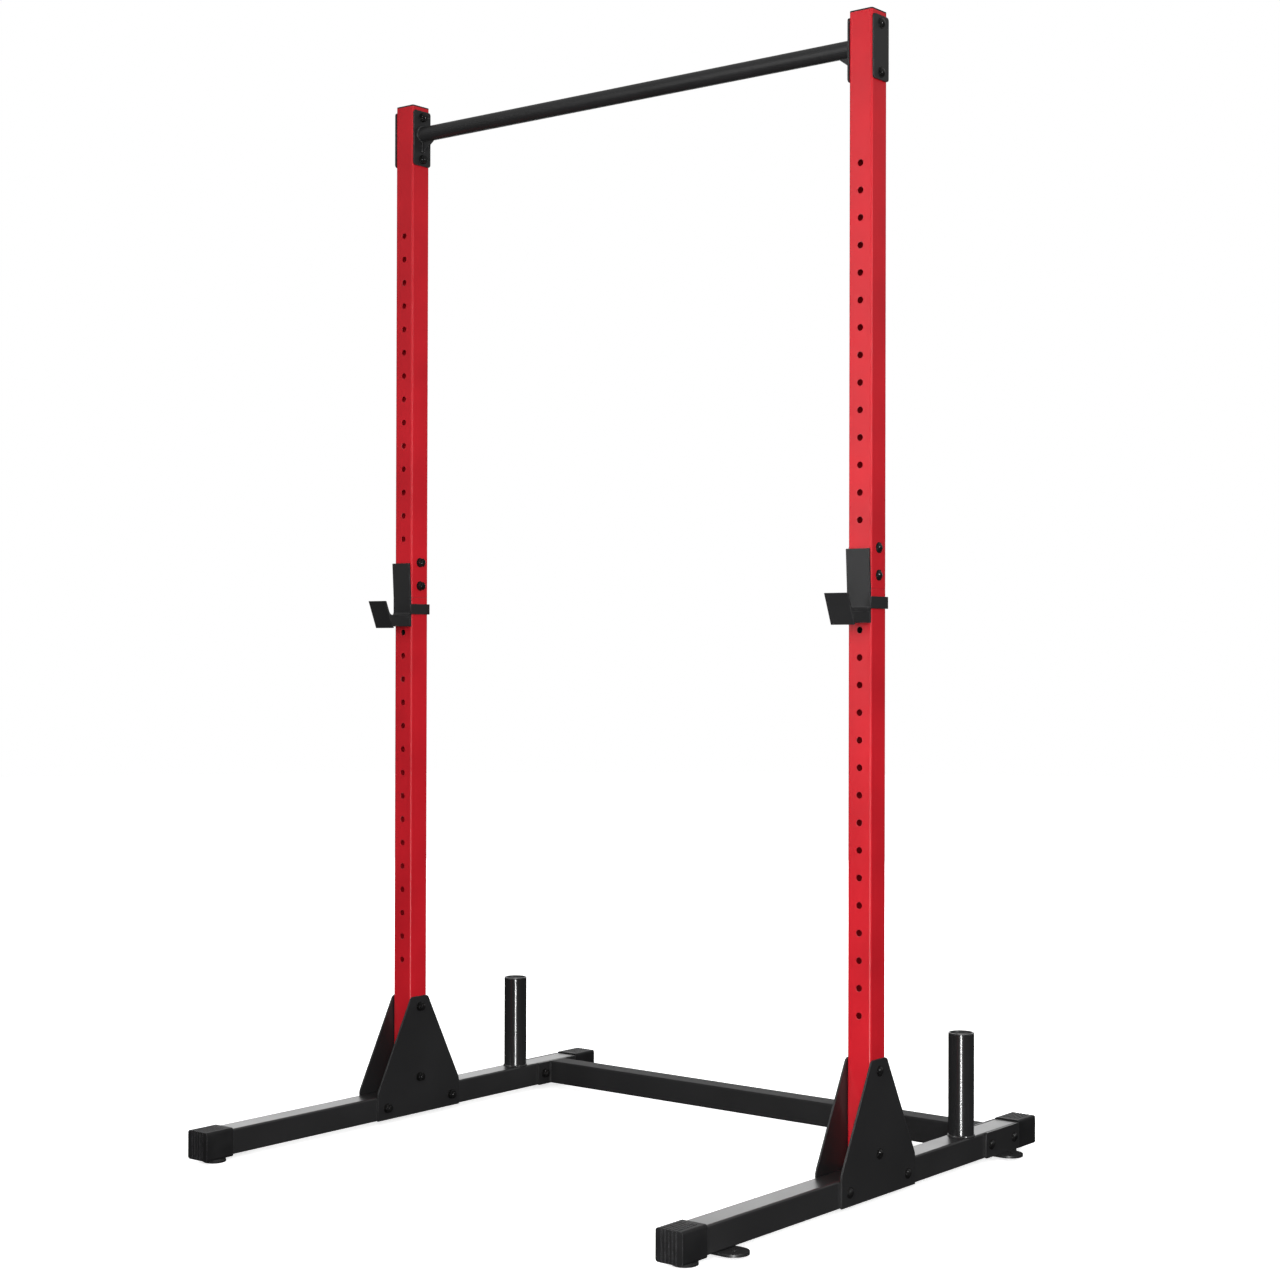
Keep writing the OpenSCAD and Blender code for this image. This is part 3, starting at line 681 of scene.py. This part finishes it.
gloss_coat = powder_coat("black_powder_coat_glossier", BLACK, RUBBED_BLACK, roughness=0.20, sheen=0.5,
                         peel=0.12)
post.data.materials.append(gloss_coat)
post_weld = deburr(weld_ring("post_weld_left", (-SIDE_X, POST_Y, RUNNER_TOP + 0.0006), "z",
                             POST_R - 0.0012, POST_BEAD, 64), 0)
post_weld.data.materials.append(gloss_coat)
post_plug = start_from("cylinder", "post_plug_left_piece", vertices=80, radius=POST_R, depth=PLUG_HEAD,
                       location=(-SIDE_X, POST_Y, POST_TOP - PLUG_HEAD / 2))
pick("FACE", lambda at, out: out.z > 0.9)
bpy.ops.mesh.inset(thickness=PLUG_RIM)
bpy.ops.mesh.inset(thickness=DISH_SLOPE, depth=-DISH_DEPTH)
pick("FACE", lambda at, out: out.z < -0.9)
bpy.ops.mesh.inset(thickness=POST_WALL + PLUG_PLAY)
pull(z=-PLUG_LEN)
deburr(post_plug, 0.0006)
plug_nylon = moulded_plastic("black_nylon_smooth", (0.0125, 0.0125, 0.013),
                             roughness=0.32, grain=1500.0, sheen=0.5)
post_plug.data.materials.append(plug_nylon)
posts = {"plate_post_left": post, "post_plug_left": post_plug,
         "plate_post_right": second_of(post, "plate_post_right_piece", shift=across),
         "post_plug_right": second_of(post_plug, "post_plug_right_piece", shift=across)}
for node, piece in posts.items():
    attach(piece, "frame")
    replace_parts(piece, node)
for weld in (post_weld, second_of(post_weld, "post_weld_right", shift=across)):
    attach(weld, "frame")

# ---- Bolts, nuts and washers ----
# M10 domed bolts in black zinc pass through the plates and tubes from the outside, with a
# washer under the head, and a washer and a nylon-collared lock nut on the inner side.
HEAD_R, HEAD_H, WASHER_R, WASHER_T = 0.00875, 0.005, 0.010, 0.0015
BOLT_R, NUT_H, HEX_R, BOLT_TIP = 0.005, 0.008, 0.00981, 0.003
HEAD_RIM, WASHER_BORE_R, COLLAR_H, NUT_CHAMFER = 0.0009, 0.0053, 0.002, 0.0007
OVER_PLATES, OVER_TUBE = TUBE / 2 + PLATE_T, TUBE / 2
GUSSET_BOLTS = [(0, 0.2395), (0, 0.0895), (-0.097, 0.037), (0.097, 0.037)]
SPLICE_BOLTS = [(0, 1.1395), (0, 1.1895)]
BAR_BOLTS = [(0, BAR_PLATE_Z - 0.045), (0, BAR_PLATE_Z + 0.045)]
CROSSBAR_BOLTS = [(CROSSBAR_Y - 0.045, 0.037), (CROSSBAR_Y + 0.045, 0.037)]
black_zinc = dark_metal(
    "black_zinc", (0.005, 0.005, 0.0052), tarnish=(0.012, 0.0117, 0.0115), bare=(0.05, 0.049, 0.048),
    roughness=0.15, metal=0.3, sheen=0.45)

dome_r = (HEAD_R ** 2 + HEAD_H ** 2) / (2 * HEAD_H)
bolt_head = start_from("uv_sphere", "bolt_head", segments=32, ring_count=24, radius=dome_r,
                       location=(HEAD_H - dome_r, 0, 0), rotation=(0, pi / 2, 0))
bpy.ops.mesh.select_all(action="SELECT")
bpy.ops.mesh.bisect(plane_co=(HEAD_RIM, 0, 0), plane_no=(1, 0, 0), use_fill=True, clear_inner=True)
pick("FACE", lambda at, out: out.x < -0.99)
pull(x=-HEAD_RIM)
deburr(bolt_head, 0.0003)

washer = start_from("cylinder", "washer", vertices=40, radius=WASHER_R, depth=WASHER_T,
                    location=(-WASHER_T / 2, 0, 0), rotation=(0, pi / 2, 0))
pick("FACE", lambda at, out: abs(out.x) > 0.9)
bpy.ops.mesh.inset(thickness=WASHER_R - WASHER_BORE_R)
bpy.ops.mesh.bridge_edge_loops()
bpy.ops.mesh.select_all(action="SELECT")
bpy.ops.mesh.normals_make_consistent(inside=False)
deburr(washer, 0.00035)

lock_nut = start_from("cylinder", "lock_nut", vertices=6, radius=HEX_R, depth=NUT_H - COLLAR_H,
                      location=((NUT_H - COLLAR_H) / 2, 0, 0), rotation=(0, pi / 2, 0))
pick("EDGE", lambda at, run: abs(run.x) < 0.1)
bpy.ops.mesh.bevel(offset=NUT_CHAMFER, segments=2, affect="EDGES")
bpy.ops.mesh.select_all(action="DESELECT")
bpy.ops.mesh.primitive_cylinder_add(vertices=32, radius=HEX_R - 0.002, depth=0.003,
                                    location=(NUT_H - 0.0015, 0, 0), rotation=(0, pi / 2, 0))
bpy.ops.mesh.select_all(action="DESELECT")
bpy.ops.mesh.primitive_cylinder_add(vertices=24, radius=BOLT_R, depth=BOLT_TIP + 0.001,
                                    location=(NUT_H + BOLT_TIP / 2 - 0.0005, 0, 0), rotation=(0, pi / 2, 0))
for turn_at in (0.0005, 0.0010, 0.0015, 0.0020, 0.0025):
    pick("FACE", lambda at, out: at.x > NUT_H - 0.0005 and (at.y ** 2 + at.z ** 2) ** 0.5 < BOLT_R + 0.0002)
    bpy.ops.mesh.bisect(plane_co=(NUT_H + turn_at, 0, 0), plane_no=(1, 0, 0))
for root_at in (0.0010, 0.0020, 0.0030):
    pick("VERT", lambda at: abs(at.x - NUT_H - root_at) < 0.0002)
    bpy.ops.transform.resize(value=(1, 0.88, 0.88), center_override=(0, 0, 0))
deburr(lock_nut, 0.00025)


def set_out(part, name, places):
    """Copies a fastener to every (x, y, z, side) and joins the copies; side -1 turns it round."""
    copies = [second_of(part, name, shift=(x, y, z), turn=0 if side > 0 else pi)
              for x, y, z, side in places]
    one = join_all(copies, name)
    one.data.materials.clear()
    one.data.materials.append(black_zinc)
    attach(one, "frame")
    return one


def outside(points, sides, over, lift=WASHER_T):
    return [(s * (SIDE_X + over + lift), y, z, s) for s in sides for y, z in points]


def inside(points, sides, over, lift=WASHER_T):
    return [(s * (SIDE_X - over - lift), y, z, -s) for s in sides for y, z in points]


groups = [
    ("gusset_{}_left", GUSSET_BOLTS, (-1,), OVER_PLATES),
    ("gusset_{}_right", GUSSET_BOLTS, (1,), OVER_PLATES),
    ("splice_{}", SPLICE_BOLTS, (-1, 1), OVER_TUBE), ("bar_{}", BAR_BOLTS, (-1, 1), OVER_PLATES),
    ("crossbar_{}", CROSSBAR_BOLTS, (-1, 1), OVER_PLATES),
]
for pattern, points, sides, over in groups:
    heads = set_out(bolt_head, pattern.format("bolt_heads"), outside(points, sides, over))
    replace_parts(heads, pattern.format("bolts"))
    nuts = set_out(lock_nut, pattern.format("lock_nuts"), inside(points, sides, over))
    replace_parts(nuts, pattern.format("nuts"))
for side, node in ((-1, "washers_left"), (1, "washers_right")):
    places = []
    for points, over in ((GUSSET_BOLTS + BAR_BOLTS + CROSSBAR_BOLTS, OVER_PLATES),
                         (SPLICE_BOLTS, OVER_TUBE)):
        places += outside(points, (side,), over) + inside(points, (side,), over)
    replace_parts(set_out(washer, node.replace("washers", "plain_washers"), places), node)
for pattern_part in (bolt_head, washer, lock_nut):
    bpy.data.objects.remove(pattern_part)

# ---- Bar hooks ----
# Each hook is one 50 mm wide, 4 mm thick bent steel cradle with two webs boxed in under it,
# a flat strap round the upright's right side, and a steel pin pressed through its back that
# drops into a hole. It lifts straight out to the front.
HOOK_Z, HOOK_W, HOOK_GAP, HOOK_T = 1.0895, 0.05, 0.0003, 0.004
HOOK_FACE = HOOK_GAP + HOOK_T
FLOOR_DROP, BACK_TOP, BACK_LOW, LEAN_FROM, LEAN = 0.013, 0.098, -0.037, 0.024, 0.004
LIP_TOP, LIP_LOW, LIP_OUT_LOW, LIP_OUT_TOP = 0.016, -0.041, 0.0565, 0.079
LIP_SLOPE = (LIP_OUT_TOP - LIP_OUT_LOW) / (LIP_TOP - LIP_LOW)
LIP_T = HOOK_T * (1 + LIP_SLOPE ** 2) ** 0.5
FLOOR_UNDER = -FLOOR_DROP - HOOK_T
WEB_T, STRAP_T, STRAP_H, STRAP_BACK = 0.003, 0.003, 0.022, TUBE + 0.0023
PIN_R, PIN_LEN, PIN_ROOT, PIN_CHAMFER = HOLE_R - 0.0004, TUBE - 0.001, 0.002, 0.002


def lip_inner(above):
    return LIP_OUT_LOW + (above - LIP_LOW) * LIP_SLOPE - LIP_T


def side_view(points):
    """Turns (ahead of the upright's face, above the pin) into (y, z)."""
    return [(-TUBE / 2 - ahead, HOOK_Z + above) for ahead, above in points]


bends = side_view([(HOOK_FACE, -FLOOR_DROP), (lip_inner(-FLOOR_DROP), -FLOOR_DROP)])
strip = cut_from_sheet(
    "hook_cradle_left", -SIDE_X - HOOK_W / 2, HOOK_W,
    side_view([
        (HOOK_FACE + LEAN, BACK_TOP), (HOOK_FACE, LEAN_FROM), (HOOK_FACE, -FLOOR_DROP),
        (lip_inner(-FLOOR_DROP), -FLOOR_DROP), (lip_inner(LIP_TOP), LIP_TOP), (LIP_OUT_TOP, LIP_TOP),
        (LIP_OUT_LOW, LIP_LOW), (LIP_OUT_LOW - LIP_T, LIP_LOW), (lip_inner(FLOOR_UNDER), FLOOR_UNDER),
        (HOOK_FACE, FLOOR_UNDER), (HOOK_FACE, BACK_LOW), (HOOK_GAP, BACK_LOW), (HOOK_GAP, LEAN_FROM),
        (HOOK_GAP + LEAN, BACK_TOP)]),
    soft_corner=lambda at: any(abs(at.y - y) + abs(at.z - z) < 0.0005 for y, z in bends),
    corner=0.007, steps=8)
deburr(strip, 0.0006)

web_outline = side_view([
    (HOOK_FACE, FLOOR_UNDER), (lip_inner(FLOOR_UNDER), FLOOR_UNDER), (lip_inner(BACK_LOW), BACK_LOW),
    (HOOK_FACE, BACK_LOW)])
hook_web = deburr(cut_from_sheet("hook_web", -SIDE_X - HOOK_W / 2, WEB_T, web_outline, corner=None), 0.0004)
hook_webs = join_all(
    [hook_web, second_of(hook_web, "hook_web_far", shift=(HOOK_W - WEB_T, 0, 0))], "hook_side_webs_left")

strap_x = -SIDE_X + TUBE / 2 + HOOK_GAP
strap = start_from("cube", "hook_strap_left_piece", size=1,
                   location=(strap_x + STRAP_T / 2, -TUBE / 2 + (STRAP_BACK - HOOK_GAP) / 2, HOOK_Z),
                   scale=(STRAP_T, STRAP_BACK + HOOK_GAP, STRAP_H))
pick("VERT", lambda at: at.y < -TUBE / 2 + 0.001)
bpy.ops.transform.translate(value=(0, 0.0002 - HOOK_T, 0))
deburr(strap, 0.0006)

pin_whole = PIN_LEN + HOOK_GAP + PIN_ROOT
pin = start_from("cylinder", "hook_pin_left_piece", vertices=48, radius=PIN_R,
                 depth=pin_whole, rotation=(pi / 2, 0, 0),
                 location=(-SIDE_X, -TUBE / 2 - HOOK_GAP + pin_whole / 2 - PIN_ROOT, HOOK_Z))
pick("EDGE", lambda at, run: at.y > 0.01 and abs(run.y) < 0.1)
bpy.ops.mesh.bevel(offset=PIN_CHAMFER, segments=3, affect="EDGES")
deburr(pin, 0.0002)

weld_y = -TUBE / 2 - HOOK_FACE + 0.0012
hook_weld = deburr(weld_line("hook_welds_left", (strap_x + 0.0002, weld_y, HOOK_Z - 0.009),
                             (strap_x + 0.0002, weld_y, HOOK_Z + 0.009), 0.0013), 0)
hook_parts = {"hook_strip": strip, "hook_webs": hook_webs, "hook_strap": strap, "hook_pin": pin}
for piece in (strip, hook_webs, strap, hook_weld):
    piece.data.materials.append(black_coat)
pin.data.materials.append(dark_steel)
for node, piece in hook_parts.items():
    right = second_of(piece, piece.name.replace("left", "right"), shift=across)
    for side, one in (("left", piece), ("right", right)):
        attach(one, "hook_" + side)
        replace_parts(one, node + "_" + side)
for side, one in (("left", hook_weld), ("right", second_of(hook_weld, "hook_welds_right", shift=across))):
    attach(one, "hook_" + side)

# ---- Studio ----
# A plain pale floor under a soft sky that darkens to the horizon. Soft boxes stand in front,
# on the right, beside the camera and behind. A small one only picks out the bolt heads, a
# narrow low one only draws a line down the plate posts, and a wide one behind the rack puts
# a sheen along the tops of the tubes.
bpy.ops.object.select_all(action="DESELECT")
bpy.ops.mesh.primitive_circle_add(vertices=96, radius=14.0, fill_type="NGON", location=(0, 0, 0))
floor = bpy.context.object
floor.name = "studio_floor"
floor.visible_glossy = floor.visible_diffuse = floor.visible_shadow = False
floor_paint = bpy.data.materials.new("studio_floor")
floor_paint.use_nodes = True
floor_shader = floor_paint.node_tree.nodes["Principled BSDF"]
floor_shader.inputs["Base Color"].default_value = (0.9, 0.9, 0.9, 1)
floor_shader.inputs["Roughness"].default_value = 0.9
floor_shader.inputs["Emission Color"].default_value = (1, 1, 1, 1)
floor_shader.inputs["Emission Strength"].default_value = 0.7
floor.data.materials.append(floor_paint)

world = bpy.data.worlds.new("studio_sky")
bpy.context.scene.world = world
world.use_nodes = True
sky, sky_link = world.node_tree.nodes, world.node_tree.links.new
plain = sky["Background"]
plain.inputs["Color"].default_value = (1, 1, 1, 1)
soft = sky.new("ShaderNodeBackground")
mix = sky.new("ShaderNodeMixShader")
ray = sky.new("ShaderNodeLightPath")
direction = sky.new("ShaderNodeTexCoord")
parts = sky.new("ShaderNodeSeparateXYZ")
shade = sky.new("ShaderNodeValToRGB")
shade.color_ramp.elements[0].position, shade.color_ramp.elements[0].color = 0.0, (0.03, 0.03, 0.03, 1)
shade.color_ramp.elements[1].position, shade.color_ramp.elements[1].color = 0.35, (0.42, 0.42, 0.42, 1)
sky_link(direction.outputs["Generated"], parts.inputs["Vector"])
sky_link(parts.outputs["Z"], shade.inputs["Fac"])
sky_link(shade.outputs["Color"], soft.inputs["Color"])
sky_link(ray.outputs["Is Camera Ray"], mix.inputs["Fac"])
sky_link(soft.outputs["Background"], mix.inputs[1])
sky_link(plain.outputs["Background"], mix.inputs[2])
sky_link(mix.outputs["Shader"], sky["World Output"].inputs["Surface"])


def soft_light(name, place, aim, wide, tall, power, shines=True, lights=True):
    """A soft box; it can be kept out of the reflections, or made to give nothing else."""
    lamp = bpy.data.lights.new(name, "AREA")
    lamp.shape = "RECTANGLE"
    lamp.size, lamp.size_y = wide, tall
    lamp.energy = power
    holder = bpy.data.objects.new(name, lamp)
    bpy.context.scene.collection.objects.link(holder)
    holder.location = place
    holder.rotation_euler = (Vector(aim) - Vector(place)).to_track_quat("-Z", "Y").to_euler()
    holder.visible_camera = False
    holder.visible_glossy = shines
    holder.visible_diffuse = lights


soft_light("front_light", (0.9, -1.5, 1.2), (0.6, 0, 1.2), 0.6, 2.4, 25, shines=False)
soft_light("right_light", (4.4, 0.9, 1.3), (0, 0, 1.1), 1.0, 2.6, 74, shines=False)
soft_light("camera_side_fill", (3.4, -4.6, 1.6), (0, 0, 1.1), 1.5, 2.4, 215, shines=False)
soft_light("front_left_strip", (-1.3, -3.0, 1.9), (0.4, 0, 1.8), 0.6, 2.4, 19)
soft_light("bolt_light", (3.6, -0.4, 2.0), (0.6, 0, 0.4), 0.3, 0.5, 34, lights=False)
soft_light("camera_side_strip", (2.35, -2.7, -0.5), (0.3, 0, -0.5), 0.16, 1.3, 98, lights=False)
soft_light("rear_fill", (-0.5, 4.6, 1.8), (0, 0, 1.1), 2.0, 2.4, 130, shines=False)
soft_light("backdrop_light", (-3.8, 4.8, 1.5), (0, 0, 0.5), 7.0, 2.6, 115)
bpy.context.scene.view_settings.view_transform = "Standard"
